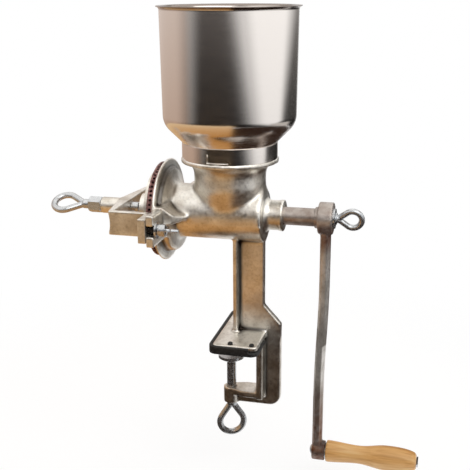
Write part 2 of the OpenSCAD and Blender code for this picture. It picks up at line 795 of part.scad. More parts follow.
// Shaft with a screw flight, from the rotor hub to the crank
module feed_screw() color("darkgray") {
    flight_x = flange_x + 2;
    flight_len = barrel_end - end_wall - seat_gap - flight_x;
    difference() {
        on_shaft() union() {
            translate([0, 0, rotor_hub_x]) cylinder(d = shaft_d, h = shaft_end_x - rotor_hub_x);
            translate([0, 0, flight_x]) cylinder(d = flight_core_d, h = flight_len);
            translate([0, 0, flight_x + bite]) linear_extrude(
                height = flight_len - 2*bite, twist = -360*flight_len/flight_pitch, slices = 48, $fn = 8
            ) translate([flight_core_d/2 - 2, -flight_t/2])
                square([(flight_d - flight_core_d)/2 + 2, flight_t]);
        }
        drive_pin_bar(running_gap, bite);
        on_shaft() translate([0, 0, rotor_hub_x - bite])
            cylinder(r = ball_d/2 + running_gap, h = ball_d/2 + running_gap + bite);
        on_shaft() translate([0, 0, shaft_end_x - crank_screw_depth - seat_gap])
            cylinder(r = crank_screw_d/2 + running_gap, h = crank_screw_depth + seat_gap + bite);
        block([crank_step_x, -shaft_d, shaft_height + shaft_d/2 - key_flat],
              [shaft_end_x + bite, shaft_d, shaft_height + shaft_d]);
    }
}

module thrust_ball() color("silver") translate([ball_x, 0, shaft_height]) sphere(d = ball_d);

// Bridge

// Hollow along the outer face of the crossbar's far half
module bar_hollow_cut() {
    half_w = bridge_w/2;
    hollow_half_h = bridge_h/2 - 1;
    hollow_r = (hollow_half_h*hollow_half_h + bar_hollow*bar_hollow)/(2*bar_hollow);
    translate([corner_x, half_w, bridge_z]) rotate([0, 0, -atan(bridge_bow/half_w)])
        translate([bar_hollow - hollow_r, bridge_t, 0]) rotate([90, 0, 0])
            cylinder(r = hollow_r, h = half_w + bridge_t);
}

module bridge() color("gainsboro") {
    half_w = bridge_w/2;
    inner = half_w - bridge_t;
    r = bridge_corner_r;
    difference() {
        union() {
            difference() {
                translate([0, 0, bridge_z - bridge_h/2]) linear_extrude(bridge_h) polygon(concat(
                    [[ear_x, half_w]],
                    arc(corner_x + r, half_w - r, r, 90, 180, 4),
                    [[bridge_mid_x, r], [bridge_mid_x, -r]],
                    arc(corner_x + r, r - half_w, r, 180, 270, 4),
                    [[ear_x, -half_w], [ear_x, -inner],
                     [bar_inner_x, -inner], [bar_inner_x, inner], [ear_x, inner]]
                ));
                for (half = [0, 1]) mirror([0, half, 0]) bar_hollow_cut();
            }
            for (side = [-1, 1]) block(
                [foot_x, min(side*inner, side*(bolt_y + ear_reach)), bridge_z - bridge_h/2],
                [ear_x, max(side*inner, side*(bolt_y + ear_reach)), bridge_z + bridge_h/2]);
            on_shaft() translate([0, 0, bridge_boss_x])
                cylinder(d = bridge_boss_d, h = bridge_boss_len + bridge_bow);
        }
        on_shaft() translate([0, 0, bridge_boss_x - bite])
            cylinder(r = screw_d/2 + running_gap, h = bar_inner_x - bridge_boss_x + 2*bite);
        on_shaft() translate([0, 0, flange_x - seat_gap])
            cylinder(r = flange_d/2 + seat_gap, h = flange_t + 2*bite);
        for (side = [-1, 1]) translate([0, side*bolt_y, bridge_z])
            bar_x(foot_x - bite, ear_x + bite, bolt_d/2 + running_gap);
    }
}

module bridge_bolt(side) color("black") translate([0, side*bolt_y, bridge_z])
    bar_x(foot_x, bolt_end_x, bolt_d/2);
module near_bridge_bolt() bridge_bolt(-1);
module far_bridge_bolt() bridge_bolt(1);

module bolt_washer(side) color("silver") translate([0, side*bolt_y, bridge_z]) difference() {
    bar_x(ear_back_x, ear_back_x + washer_t, washer_d/2);
    bar_x(ear_back_x - bite, ear_back_x + washer_t + bite, bolt_d/2 + running_gap);
}
module near_washer() bolt_washer(-1);
module far_washer() bolt_washer(1);

module wing_nut(side) color("silver")
translate([ear_back_x + washer_t, side*bolt_y, bridge_z]) rotate([-wing_turn, 0, 0]) difference() {
    union() {
        bar_x(0, wing_hub_len, wing_hub_d/2);
        for (half = [0, 1]) mirror([0, half, 0]) translate([0, 0, -wing_t/2])
            linear_extrude(wing_t) polygon(concat(
            [[1, bolt_d/2 + 1], [1, wing_hub_d/2], [wing_hub_len*0.6, wing_reach - 1]],
            arc(wing_hub_len + wing_flare - wing_tip_r, wing_reach - wing_tip_r, wing_tip_r, 100, -30, 6),
            [[wing_hub_len - 1, wing_hub_d/2], [wing_hub_len - 1, bolt_d/2 + 1]]
        ));
    }
    bar_x(-bite, wing_hub_len + bite, bolt_d/2 + running_gap);
}
module near_wing_nut() wing_nut(-1);
module far_wing_nut() wing_nut(1);

// Eye screws

module adjusting_screw() color("silver") {
    neck_x = bridge_boss_x - seat_gap - lock_nut_len - adjust_neck;
    on_shaft() translate([0, 0, neck_x]) cylinder(d = screw_d, h = screw_tip_x - neck_x);
    translate([neck_x + bite, 0, shaft_height]) rotate([adjust_eye_turn, 0, 0]) rotate([0, -90, 0])
        eye(adjust_eye_len, adjust_eye_w, eye_rod_d);
}

module lock_nut() color("silver") on_shaft()
translate([0, 0, bridge_boss_x - seat_gap - lock_nut_len]) difference() {
    intersection() {
        cylinder(d = lock_nut_af/cos(30), h = lock_nut_len, $fn = 6);
        cylinder(d1 = lock_nut_af, d2 = lock_nut_af + 2*lock_nut_len, h = lock_nut_len);
        translate([0, 0, lock_nut_len]) mirror([0, 0, 1])
            cylinder(d1 = lock_nut_af, d2 = lock_nut_af + 2*lock_nut_len, h = lock_nut_len);
    }
    translate([0, 0, -bite]) cylinder(r = screw_d/2 + running_gap, h = lock_nut_len + 2*bite);
}

module clamp_screw() color("dimgray") {
    translate([0, 0, clamp_neck_z - 4]) cylinder(d = screw_d, h = clamp_screw_top_z - clamp_neck_z + 4);
    translate([0, 0, clamp_neck_z - 1]) rotate([0, 0, clamp_eye_turn]) rotate([180, 0, 0])
        eye(clamp_eye_len, clamp_eye_w, eye_rod_d);
}

module swivel_pad() color("dimgray") difference() {
    translate([0, 0, swivel_bottom_z]) rotate_extrude() polygon([
        [0, 0], [screw_d/2 + 3, 0], [swivel_d/2, swivel_t - 3], [swivel_d/2, swivel_t], [0, swivel_t]
    ]);
    translate([0, 0, swivel_bottom_z - bite])
        cylinder(r = screw_d/2 + running_gap, h = swivel_seat + running_gap + bite);
}

// Crank

// The arm's side outline steps sideways between hub and grip
function arm_line(x) = [for (i = [0:16]) let (t = i/16)
    [x + arm_step*ease(min(max((t - 0.25)/0.5, 0), 1)), grip_z + crank_r*t]];

module arm_strip(t, half_bottom, half_top) {
    intersection() {
        plate_xz(concat(arm_line(arm_bottom_x + arm_t/2 - t/2), [for (i = [16:-1:0])
            arm_line(arm_bottom_x + arm_t/2 + t/2)[i]]), 2*arm_top_w);
        translate([arm_bottom_x - 2*arm_t, 0, 0]) rotate([90, 0, 90])
            linear_extrude(arm_step + 5*arm_t) polygon([
                [-half_bottom, grip_z], [half_bottom, grip_z],
                [half_top, shaft_height], [-half_top, shaft_height]
            ]);
    }
}

module crank_arm() color("gainsboro") difference() {
    union() {
        on_shaft() translate([0, 0, crank_hub_x]) cylinder(d = crank_hub_d, h = crank_hub_len);
        on_shaft() translate([0, 0, crank_step_x]) cylinder(d = crank_step_d, h = crank_step_len + bite);
        arm_strip(arm_t, arm_bottom_w/2, arm_top_w/2);
        arm_strip(arm_t + 2*arm_rib_h, arm_rib_w/2, arm_rib_w/2);
        translate([0, 0, grip_z]) bar_x(pin_boss_x, pin_boss_x + pin_boss_len, pin_boss_d/2);
    }
    difference() {
        on_shaft() translate([0, 0, crank_step_x - bite])
            cylinder(r = shaft_d/2 + running_gap, h = crank_hub_len + crank_step_len + 2*bite);
        block([crank_step_x - 2*bite, -shaft_d, shaft_height + shaft_d/2 - key_flat + running_gap],
              [crank_face_x + 2*bite, shaft_d, shaft_height + shaft_d]);
    }
    translate([0, 0, grip_z])
        bar_x(pin_boss_x - bite, pin_boss_x + pin_boss_len + bite, grip_pin_d/2 + running_gap);
}

module crank_washer() color("silver") on_shaft() translate([0, 0, crank_washer_x]) difference() {
    cylinder(d = crank_washer_d, h = crank_washer_t);
    translate([0, 0, -bite]) cylinder(r = crank_screw_d/2 + running_gap, h = crank_washer_t + 2*bite);
}

module crank_screw() color("silver") {
    collar_t = 1.6;
    on_shaft() translate([0, 0, shaft_end_x - crank_screw_depth])
        cylinder(d = crank_screw_d, h = crank_collar_x + 4 - shaft_end_x + crank_screw_depth);
    on_shaft() translate([0, 0, crank_collar_x]) cylinder(d = crank_screw_d + 4, h = collar_t);
    translate([crank_collar_x + 2, 0, shaft_height]) rotate([crank_eye_turn, 0, 0]) rotate([0, 90, 0])
        eye(crank_eye_len, crank_eye_w, crank_eye_rod_d);
}

// Grip radius along its length, from 0 at the crank to 1 at the end
function grip_r(t) =
    t < 0.36 ? (grip_start_d + (grip_waist_d - grip_start_d)*ease(t/0.36))/2 :
    t < 0.68 ? (grip_waist_d + (grip_swell_d - grip_waist_d)*ease((t - 0.36)/0.32))/2 :
    (grip_swell_d + (grip_end_d - grip_swell_d)*(1 - sqrt(max(0, 1 - pow((t - 0.68)/0.32, 2.4)))))/2;

module grip() color("burlywood") translate([grip_x, 0, grip_z]) rotate([0, 90, 0]) difference() {
    rotate_extrude() polygon(concat(
        [[0, 0], [grip_start_d/2 - 1.2, 0]],
        [for (i = [1:32]) let (t = i/32) [grip_r(t), grip_len*t]],
        [[0, grip_len]]
    ));
    translate([0, 0, -bite]) cylinder(r = grip_pin_d/2 + running_gap, h = grip_len + 2*bite);
}

module grip_pin() color("dimgray") translate([0, 0, grip_z]) {
    bar_x(pin_boss_x - bite, grip_end_x + seat_gap + bite, grip_pin_d/2);
    // Rivet head on the inner side of the crank
    translate([pin_boss_x, 0, 0]) rotate([0, -90, 0]) rotate_extrude() polygon(concat(
        [[0, 0]], [for (i = [0:6]) let (a = 90*i/6) [pin_head_d/2*cos(a), pin_head_t*sin(a)]]
    ));
    bar_x(grip_end_x + seat_gap, grip_end_x + seat_gap + pin_head_t/2, pin_head_d/2);
}

module grip_washer() color("silver") translate([0, 0, grip_z]) difference() {
    bar_x(grip_washer_x, grip_washer_x + grip_washer_t, pin_boss_d/2 - 2);
    bar_x(grip_washer_x - bite, grip_washer_x + grip_washer_t + bite, grip_pin_d/2 + running_gap);
}

// Rubber pad under the jaw, with a lip round three sides and nubs through the jaw
module jaw_pad() color("black") {
    pad_end = jaw_end + pad_tail;
    difference() {
        linear_extrude(pad_t + pad_lip_h) jaw_outline(pad_lip, pad_end);
        translate([0, 0, pad_t]) linear_extrude(pad_lip_h + bite) jaw_outline(0, jaw_end);
        // The end towards the frame has no lip
        block([jaw_end - jaw_corner_r - pad_lip, -jaw_w, pad_t],
              [pad_end + bite, jaw_w, pad_t + pad_lip_h + bite]);
        block([mouth_depth - seat_gap, -mouth_flange_w/2 - seat_gap, -bite],
              [pad_end + bite, mouth_flange_w/2 + seat_gap, pad_t + bite]);
    }
    at_nubs() translate([0, 0, pad_t - bite]) cylinder(d = nub_d, h = jaw_t + nub_h + bite);
}

body_casting();
hopper_bowl();
hopper_collar();
fixed_burr();
fixed_burr_screws();
feed_screw();
rotor_plate();
turning_burr();
turning_burr_screws();
drive_pin();
thrust_ball();
bridge();
adjusting_screw();
lock_nut();
near_bridge_bolt();
far_bridge_bolt();
near_washer();
far_washer();
near_wing_nut();
far_wing_nut();
crank_arm();
crank_washer();
crank_screw();
grip();
grip_pin();
grip_washer();
jaw_pad();
clamp_screw();
swivel_pad();
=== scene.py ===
"""Studio scene of a clamp-on hand grain mill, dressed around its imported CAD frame.

Lengths in the classes are millimetres and become metres where a mesh is made. Every piece sits at the
origin with its place in its mesh, rides on a body of the frame and takes a finish named for the real one.
"""

import logging
import math
from dataclasses import dataclass, field
from enum import Enum
from typing import Callable, Iterable, Optional

import bmesh
import bpy
import numpy as np
from mathutils import Matrix, Vector


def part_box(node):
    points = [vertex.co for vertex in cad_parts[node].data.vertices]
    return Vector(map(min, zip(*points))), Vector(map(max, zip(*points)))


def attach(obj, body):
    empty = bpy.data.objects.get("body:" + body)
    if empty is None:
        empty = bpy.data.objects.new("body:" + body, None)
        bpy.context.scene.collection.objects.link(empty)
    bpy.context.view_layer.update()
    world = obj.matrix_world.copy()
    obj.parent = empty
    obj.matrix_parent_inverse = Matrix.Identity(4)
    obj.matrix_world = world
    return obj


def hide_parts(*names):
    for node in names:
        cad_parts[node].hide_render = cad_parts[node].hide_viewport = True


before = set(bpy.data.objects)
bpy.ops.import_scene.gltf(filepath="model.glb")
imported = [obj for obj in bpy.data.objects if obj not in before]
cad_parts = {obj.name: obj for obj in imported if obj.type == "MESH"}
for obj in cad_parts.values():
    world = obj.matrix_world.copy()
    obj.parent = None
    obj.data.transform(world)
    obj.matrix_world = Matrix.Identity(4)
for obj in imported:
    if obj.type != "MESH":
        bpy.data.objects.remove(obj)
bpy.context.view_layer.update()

LOG = logging.getLogger("grain_mill")
MM = 0.001
SHAFT_HEIGHT = 134.0
CREVICE_SHADE = "painted_shade_and_pits"


class Body(Enum):
    """Bodies of the frame that new pieces ride on."""

    FRAME = "frame"
    HOPPER = "hopper"
    ADJUSTER = "adjuster"
    ROTOR = "rotor"
    HANDLE = "handle"
    CRANK_EYE = "crank_eye"
    CLAMP_EYE = "clamp_eye"
    NEAR_NUT = "near_nut"
    FAR_NUT = "far_nut"


class Axis(Enum):
    """Directions that turned pieces are spun about."""

    SHAFT = (1.0, 0.0, 0.0)
    UPRIGHT = (0.0, 0.0, 1.0)


# Colours and nodes


def linear(hex_colour: str) -> tuple[float, float, float, float]:
    """Turn an sRGB hex colour into a linear one.

    Args:
        hex_colour: Six hex digits, such as "C8C2B8".

    Returns:
        Linear red, green, blue and an alpha of 1.
    """
    channels = [int(hex_colour[i:i + 2], 16) / 255 for i in (0, 2, 4)]
    turned = [c / 12.92 if c <= 0.04045 else ((c + 0.055) / 1.055) ** 2.4 for c in channels]
    return (turned[0], turned[1], turned[2], 1.0)


def add_node(
    tree: bpy.types.NodeTree,
    kind: str,
    props: Optional[dict] = None,
    values: Optional[dict] = None,
    links: Optional[dict] = None,
) -> bpy.types.Node:
    """Add one node with its settings and links.

    Args:
        tree: The node tree that gets the node.
        kind: Blender's name of the node type.
        props: Attributes of the node.
        values: Input values by socket name or number.
        links: Sockets that feed inputs, by socket name or number.

    Returns:
        The new node.
    """
    node = tree.nodes.new(kind)
    for name, value in (props or {}).items():
        setattr(node, name, value)
    for name, value in (values or {}).items():
        node.inputs[name].default_value = value
    for name, socket in (links or {}).items():
        tree.links.new(socket, node.inputs[name])
    return node


def per_metre(size_mm: float) -> float:
    """Texture scale whose features are about that many millimetres across."""
    return 1.0 / (size_mm * MM)


# Finishes


@dataclass(frozen=True)
class Finish:
    """A finish with one colour all over; the others build on it."""

    name: str
    colour: str
    roughness: float
    metallic: float = 0.0

    def material(self) -> bpy.types.Material:
        """Make the material, or return the one already made under this name."""
        found = bpy.data.materials.get(self.name)
        if found:
            return found
        made = bpy.data.materials.new(self.name)
        made.use_nodes = True
        tree = made.node_tree
        shader = tree.nodes["Principled BSDF"]
        shader.inputs["Base Color"].default_value = linear(self.colour)
        shader.inputs["Roughness"].default_value = self.roughness
        shader.inputs["Metallic"].default_value = self.metallic
        self.dress(tree, shader)
        return made

    def dress(self, tree: bpy.types.NodeTree, shader: bpy.types.Node) -> None:
        """Add patterns to the shader; a plain finish has none."""

    @staticmethod
    def place(tree: bpy.types.NodeTree, scale: tuple[float, float, float]) -> bpy.types.NodeSocket:
        """Object coordinates, stretched by a scale for each axis."""
        coords = add_node(tree, "ShaderNodeTexCoord")
        mapping = add_node(tree, "ShaderNodeMapping", values={"Scale": scale},
                           links={"Vector": coords.outputs["Object"]})
        return mapping.outputs["Vector"]

    @staticmethod
    def noise(tree: bpy.types.NodeTree, where: bpy.types.NodeSocket, size_mm: float,
              detail: float = 3.0) -> bpy.types.NodeSocket:
        """Noise with features of a real size."""
        made = add_node(tree, "ShaderNodeTexNoise", values={"Scale": per_metre(size_mm), "Detail": detail},
                        links={"Vector": where})
        return made.outputs["Fac"]

    @staticmethod
    def blend(tree: bpy.types.NodeTree, factor: bpy.types.NodeSocket,
              stops: Iterable[tuple[float, str]]) -> bpy.types.NodeSocket:
        """Colours along a factor.

        Args:
            tree: The material's node tree.
            factor: Socket that runs from 0 to 1.
            stops: Places along the factor with their sRGB hex colours.

        Returns:
            The colour socket.
        """
        return Finish.ramp(tree, factor, [(where, linear(colour)) for where, colour in stops])

    @staticmethod
    def ramp(tree: bpy.types.NodeTree, factor: bpy.types.NodeSocket,
             stops: list[tuple[float, tuple[float, float, float, float]]]) -> bpy.types.NodeSocket:
        """Linear colours along a factor, from places in rising order."""
        made = add_node(tree, "ShaderNodeValToRGB", links={"Fac": factor})
        marks = made.color_ramp.elements
        while len(marks) < len(stops):
            marks.new(0.5)
        for mark, (where, colour) in zip(marks, stops):
            mark.position = where
            mark.color = colour
        return made.outputs["Color"]

    @staticmethod
    def by_height(tree: bpy.types.NodeTree, where: bpy.types.NodeSocket,
                  steps: tuple[tuple[float, float], ...]) -> bpy.types.NodeSocket:
        """An amount that changes with height.

        Args:
            tree: The material's node tree.
            where: Coordinates whose Z is the height.
            steps: Heights in millimetres, rising, with the amount at each.

        Returns:
            The amount's socket.
        """
        low, high = steps[0][0], steps[-1][0]
        level = add_node(tree, "ShaderNodeSeparateXYZ", links={0: where}).outputs["Z"]
        height = add_node(tree, "ShaderNodeMapRange", links={"Value": level},
                          values={"From Min": low * MM, "From Max": high * MM})
        return Finish.ramp(tree, height.outputs["Result"], [
            ((z - low) / (high - low), (amount, amount, amount, 1.0)) for z, amount in steps])

    @staticmethod
    def paint(tree: bpy.types.NodeTree, shader: bpy.types.Node, colour: bpy.types.NodeSocket) -> None:
        """Feed the shader's colour."""
        tree.links.new(colour, shader.inputs["Base Color"])

    def gloss(self, tree: bpy.types.NodeTree, shader: bpy.types.Node, factor: bpy.types.NodeSocket) -> None:
        """Let a noise factor vary the gloss about the finish's own."""
        tree.links.new(self.spread(tree, factor, self.roughness - 0.06, self.roughness + 0.1),
                       shader.inputs["Roughness"])

    @staticmethod
    def spread(tree: bpy.types.NodeTree, factor: bpy.types.NodeSocket, low: float,
               high: float) -> bpy.types.NodeSocket:
        """A noise factor spread over a range of values."""
        ranged = add_node(tree, "ShaderNodeMapRange", links={"Value": factor},
                          values={"From Min": 0.3, "From Max": 0.7, "To Min": low, "To Max": high})
        return ranged.outputs["Result"]

    @staticmethod
    def bump(tree: bpy.types.NodeTree, shader: bpy.types.Node, height: bpy.types.NodeSocket,
             relief: tuple[float, float]) -> None:
        """Raise the surface by a height socket; the relief is its depth in millimetres and its strength."""
        depth_mm, strength = relief
        made = add_node(tree, "ShaderNodeBump", values={"Strength": strength, "Distance": depth_mm * MM},
                        links={"Height": height})
        tree.links.new(made.outputs["Normal"], shader.inputs["Normal"])


@dataclass(frozen=True)
class CastTin(Finish):
    """Sand-cast iron dipped in tin: a pale satin skin with the sand's grain still in it."""

    shade: str = "CBC4B9"
    # Dark colour used for painted shade in hollows and for the dark pits of the cast skin.
    painted_shade_and_pits: str = "2B2420"
    grain_mm: float = 2.6
    cloud_mm: float = 22.0
    pit_share: float = 0.2
    pit_from_to: tuple[float, float] = (0.3, 0.52)
    relief: tuple[float, float] = (0.4, 0.5)

    def dress(self, tree: bpy.types.NodeTree, shader: bpy.types.Node) -> None:
        """Cloud the tin faintly, darken its hollows with painted shade and darken its pits, and let the
        grain break the gloss.
        """
        where = self.place(tree, (1, 1, 1))
        cloud = self.noise(tree, where, self.cloud_mm, 3)
        grain = self.noise(tree, where, self.grain_mm, 4)
        # Painted shade: the hollow depth darkens corners and grooves.
        painted_shade_and_pits = add_node(tree, "ShaderNodeAttribute", props={"attribute_name": CREVICE_SHADE})
        deepest, shallowest = self.pit_from_to
        pits = add_node(tree, "ShaderNodeMapRange", links={"Value": grain}, values={
            "From Min": deepest, "From Max": shallowest, "To Min": self.pit_share, "To Max": 0.0})
        # The larger of painted shade and pit darkness sets how far the colour darkens.
        shade_and_pit_amount = add_node(tree, "ShaderNodeMath", props={"operation": "MAXIMUM"},
                        links={0: painted_shade_and_pits.outputs["Fac"], 1: pits.outputs["Result"]})
        mix = add_node(tree, "ShaderNodeMixRGB", values={2: linear(self.painted_shade_and_pits)}, links={
            0: shade_and_pit_amount.outputs[0], 1: self.blend(tree, cloud, [(0.35, self.shade), (0.6, self.colour)])})
        self.paint(tree, shader, mix.outputs[0])
        self.gloss(tree, shader, grain)
        self.bump(tree, shader, grain, self.relief)


@dataclass(frozen=True)
class WornTin(CastTin):
    """Tin worn thin by handling: dull grey, browned near the two ends of the crank, by rust at the top and
    by rust together with painted shade at the lower end.
    """

    # Brown of the rust; towards the crank's lower end it also serves as painted shade.
    rust: str = "6A4029"
    # Amount of brown by height: the low heights carry painted shade as well as rust.
    rust_and_shade_by_height: tuple[tuple[float, float], ...] = (
        (-130, 1.0), (-90, 0.9), (-55, 0.5), (-35, 0.0), (70, 0.0), (98, 0.3), (108, 1.0), (120, 1.0),
        (128, 0.85), (135, 0.55), (150, 0.45))
    patch_mm: float = 7.0

    def dress(self, tree: bpy.types.NodeTree, shader: bpy.types.Node) -> None:
        """Add brown to the tin by the height on the crank, broken up by patches: rust at the top, rust with
        painted shade at the lower end.
        """
        super().dress(tree, shader)
        tin = shader.inputs["Base Color"].links[0].from_socket
        where = self.place(tree, (1, 1, 1))
        share = self.by_height(tree, where, self.rust_and_shade_by_height)
        patch = self.spread(tree, self.noise(tree, where, self.patch_mm, 4), 0.6, 1.0)
        rust_and_shade_amount = add_node(tree, "ShaderNodeMath", props={"operation": "MULTIPLY"}, links={0: share, 1: patch})
        mix = add_node(tree, "ShaderNodeMixRGB", values={2: linear(self.rust)},
                       links={0: rust_and_shade_amount.outputs[0], 1: tin})
        self.paint(tree, shader, mix.outputs[0])


@dataclass(frozen=True)
class SatinSheet(Finish):
    """Spun stainless sheet: soft broad reflections, a duller shoulder and a rolled rim darkened by a painted
    dark reflection.
    """

    mark_mm: float = 1.0
    dull: float = 0.09
    dull_by_height: tuple[tuple[float, float], ...] = (
        (190, 0.0), (206, 0.0), (209, 1.0), (221, 1.0), (231, 0.0))
    # Painted dark reflection on the rolled rim.
    rim_painted_reflection: str = "8A807A"
    rim_by_height: tuple[tuple[float, float], ...] = ((333, 0.0), (336, 1.0))
    relief: tuple[float, float] = (0.02, 0.06)

    def dress(self, tree: bpy.types.NodeTree, shader: bpy.types.Node) -> None:
        """Faint level spinning marks in the gloss, duller on the shoulder that was spun the most."""
        where = self.place(tree, (0.05, 0.05, 1.0))
        marks = self.noise(tree, where, self.mark_mm, 2)
        # The rolled rim's colour is darkened: a painted dark reflection.
        rim = self.by_height(tree, where, self.rim_by_height)
        self.paint(tree, shader, self.blend(tree, rim, [(0.0, self.colour), (1.0, self.rim_painted_reflection)]))
        rough = add_node(tree, "ShaderNodeMath", props={"operation": "MULTIPLY_ADD"}, values={1: self.dull},
                         links={0: self.by_height(tree, where, self.dull_by_height),
                                2: self.spread(tree, marks, self.roughness - 0.02, self.roughness + 0.03)})
        tree.links.new(rough.outputs[0], shader.inputs["Roughness"])
        self.bump(tree, shader, marks, self.relief)


@dataclass(frozen=True)
class PlatedSteel(Finish):
    """Plated or blackened forged steel: a soft gloss with small clouds."""

    shade: str = "A8A39B"
    cloud_mm: float = 4.0
    relief: tuple[float, float] = (0.05, 0.1)

    def dress(self, tree: bpy.types.NodeTree, shader: bpy.types.Node) -> None:
        """Cloud the plating and soften it a little."""
        where = self.place(tree, (1, 1, 1))
        cloud = self.noise(tree, where, self.cloud_mm, 3)
        self.paint(tree, shader, self.blend(tree, cloud, [(0.35, self.shade), (0.6, self.colour)]))
        self.gloss(tree, shader, cloud)
        self.bump(tree, shader, cloud, self.relief)


@dataclass(frozen=True)
class BurrIron(Finish):
    """Bare hard iron with a red-brown skin of age in the furrows."""

    rust_mm: float = 3.0
    iron: str = "4B2A2B"
    relief: tuple[float, float] = (0.2, 0.4)

    def dress(self, tree: bpy.types.NodeTree, shader: bpy.types.Node) -> None:
        """Mix dark iron and red-brown."""
        where = self.place(tree, (1, 1, 1))
        rust = self.noise(tree, where, self.rust_mm, 4)
        self.paint(tree, shader, self.blend(tree, rust, [(0.35, self.iron), (0.62, self.colour)]))
        self.bump(tree, shader, rust, self.relief)


@dataclass(frozen=True)
class TurnedWood(Finish):
    """Turned pale hardwood under clear varnish: fine grain along the grip and a soft gloss."""

    grain_mm: float = 2.4
    streak_mm: float = 9.0
    late_wood: str = "B88344"
    early_wood: str = "EBC890"
    relief: tuple[float, float] = (0.08, 0.2)

    def dress(self, tree: bpy.types.NodeTree, shader: bpy.types.Node) -> None:
        """Grain that runs along the grip, with slow changes of tone."""
        along = self.place(tree, (0.05, 1.0, 1.0))
        grain = self.noise(tree, along, self.grain_mm, 5)
        streak = self.noise(tree, along, self.streak_mm, 2)
        both = add_node(tree, "ShaderNodeMath", props={"operation": "MULTIPLY_ADD"},
                        links={0: grain, 2: streak}, values={1: 0.5})
        evened = add_node(tree, "ShaderNodeMath", props={"operation": "MULTIPLY"},
                          links={0: both.outputs[0]}, values={1: 0.66})
        self.paint(tree, shader, self.blend(tree, evened.outputs[0], [
            (0.36, self.late_wood), (0.5, self.colour), (0.66, self.early_wood)]))
        self.bump(tree, shader, grain, self.relief)
        shader.inputs["Coat Weight"].default_value = 0.35
        shader.inputs["Coat Roughness"].default_value = 0.25


@dataclass(frozen=True)
class MouldedRubber(Finish):
    """Moulded black rubber: matt, with a faint dusty grain."""

    dust_mm: float = 2.0
    dust: str = "2E2C2A"
    relief: tuple[float, float] = (0.15, 0.3)

    def dress(self, tree: bpy.types.NodeTree, shader: bpy.types.Node) -> None:
        """A dusty grain that breaks the black."""
        where = self.place(tree, (1, 1, 1))
        grain = self.noise(tree, where, self.dust_mm, 4)
        self.paint(tree, shader, self.blend(tree, grain, [(0.4, self.colour), (0.75, self.dust)]))
        self.bump(tree, shader, grain, self.relief)


TIN = CastTin("hot-tinned cast iron", "F2EFE8", 0.36, 1.0)
WORN = WornTin("worn tin on cast iron", "DEDBD6", 0.38, 0.75, "BBB7B0")
SHEET = SatinSheet("satin stainless sheet", "E6E0DB", 0.16, 1.0)
ZINC = PlatedSteel("zinc-plated steel", "C6C8CA", 0.24, 0.9, "B2B5B8")
BURR = BurrIron("bare burr iron", "9A7570", 0.5, 0.7)
BLACK = PlatedSteel("blackened steel", "1B1A19", 0.42, 0.5, "2C2927")
WOOD = TurnedWood("varnished turned hardwood", "D8A564", 0.42)
RUBBER = MouldedRubber("moulded black rubber", "131212", 0.62)


# Meshes


def finish_piece(obj: bpy.types.Object, finish: Finish, body: Body, nodes: Iterable[str]) -> None:
    """Dress a new piece, hang it on its body and let it stand for CAD nodes.

    Args:
        obj: The piece, in place.
        finish: Its finish.
        body: The body that it moves with.
        nodes: CAD nodes that it stands for.
    """
    obj.data.materials.clear()
    obj.data.materials.append(finish.material())
    for polygon in obj.data.polygons:
        polygon.use_smooth = True
    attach(obj, body.value)
    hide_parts(*nodes)
    LOG.info("%s: %d faces, stands for %s", obj.name, len(obj.data.polygons), ", ".join(nodes))


def link_mesh(name: str, shape: bmesh.types.BMesh) -> bpy.types.Object:
    """Make an object from a bmesh and free the bmesh."""
    mesh = bpy.data.meshes.new(name)
    shape.to_mesh(mesh)
    shape.free()
    obj = bpy.data.objects.new(name, mesh)
    bpy.context.scene.collection.objects.link(obj)
    return obj


def bake_modifiers(obj: bpy.types.Object) -> None:
    """Replace an object's mesh by what its modifiers make of it."""
    bpy.context.view_layer.update()
    result = bpy.data.meshes.new_from_object(obj.evaluated_get(bpy.context.evaluated_depsgraph_get()))
    obj.modifiers.clear()
    obj.data = result


def softened(node: str, name: str, voxel_mm: float, passes: int,
             more: Optional[tuple[Callable[[Vector], float], int]] = None) -> bpy.types.Object:
    """Copy a CAD node and round its edges as casting or forging does.

    Args:
        node: The CAD node to copy.
        name: Name of the new piece.
        voxel_mm: Size of the cells that the copy is rebuilt from.
        passes: How often the surface is smoothed.
        more: Where to smooth further, as a weight for each place, and how often.

    Returns:
        The new object.
    """
    shape = bmesh.new()
    shape.from_mesh(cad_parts[node].data)
    bmesh.ops.remove_doubles(shape, verts=shape.verts, dist=0.001 * MM)
    obj = link_mesh(name, shape)
    rebuilt = obj.modifiers.new("rebuilt", "REMESH")
    rebuilt.mode = "VOXEL"
    rebuilt.voxel_size = voxel_mm * MM
    smooth = obj.modifiers.new("rounded", "SMOOTH")
    smooth.factor = 0.5
    smooth.iterations = passes
    bake_modifiers(obj)
    if more:
        weigh, times = more
        group = obj.vertex_groups.new(name="more")
        for vertex in obj.data.vertices:
            group.add([vertex.index], weigh(vertex.co / MM), "REPLACE")
        again = obj.modifiers.new("filleted", "SMOOTH")
        again.factor = 0.5
        again.iterations = times
        again.vertex_group = "more"
        bake_modifiers(obj)
        obj.vertex_groups.clear()
    return obj


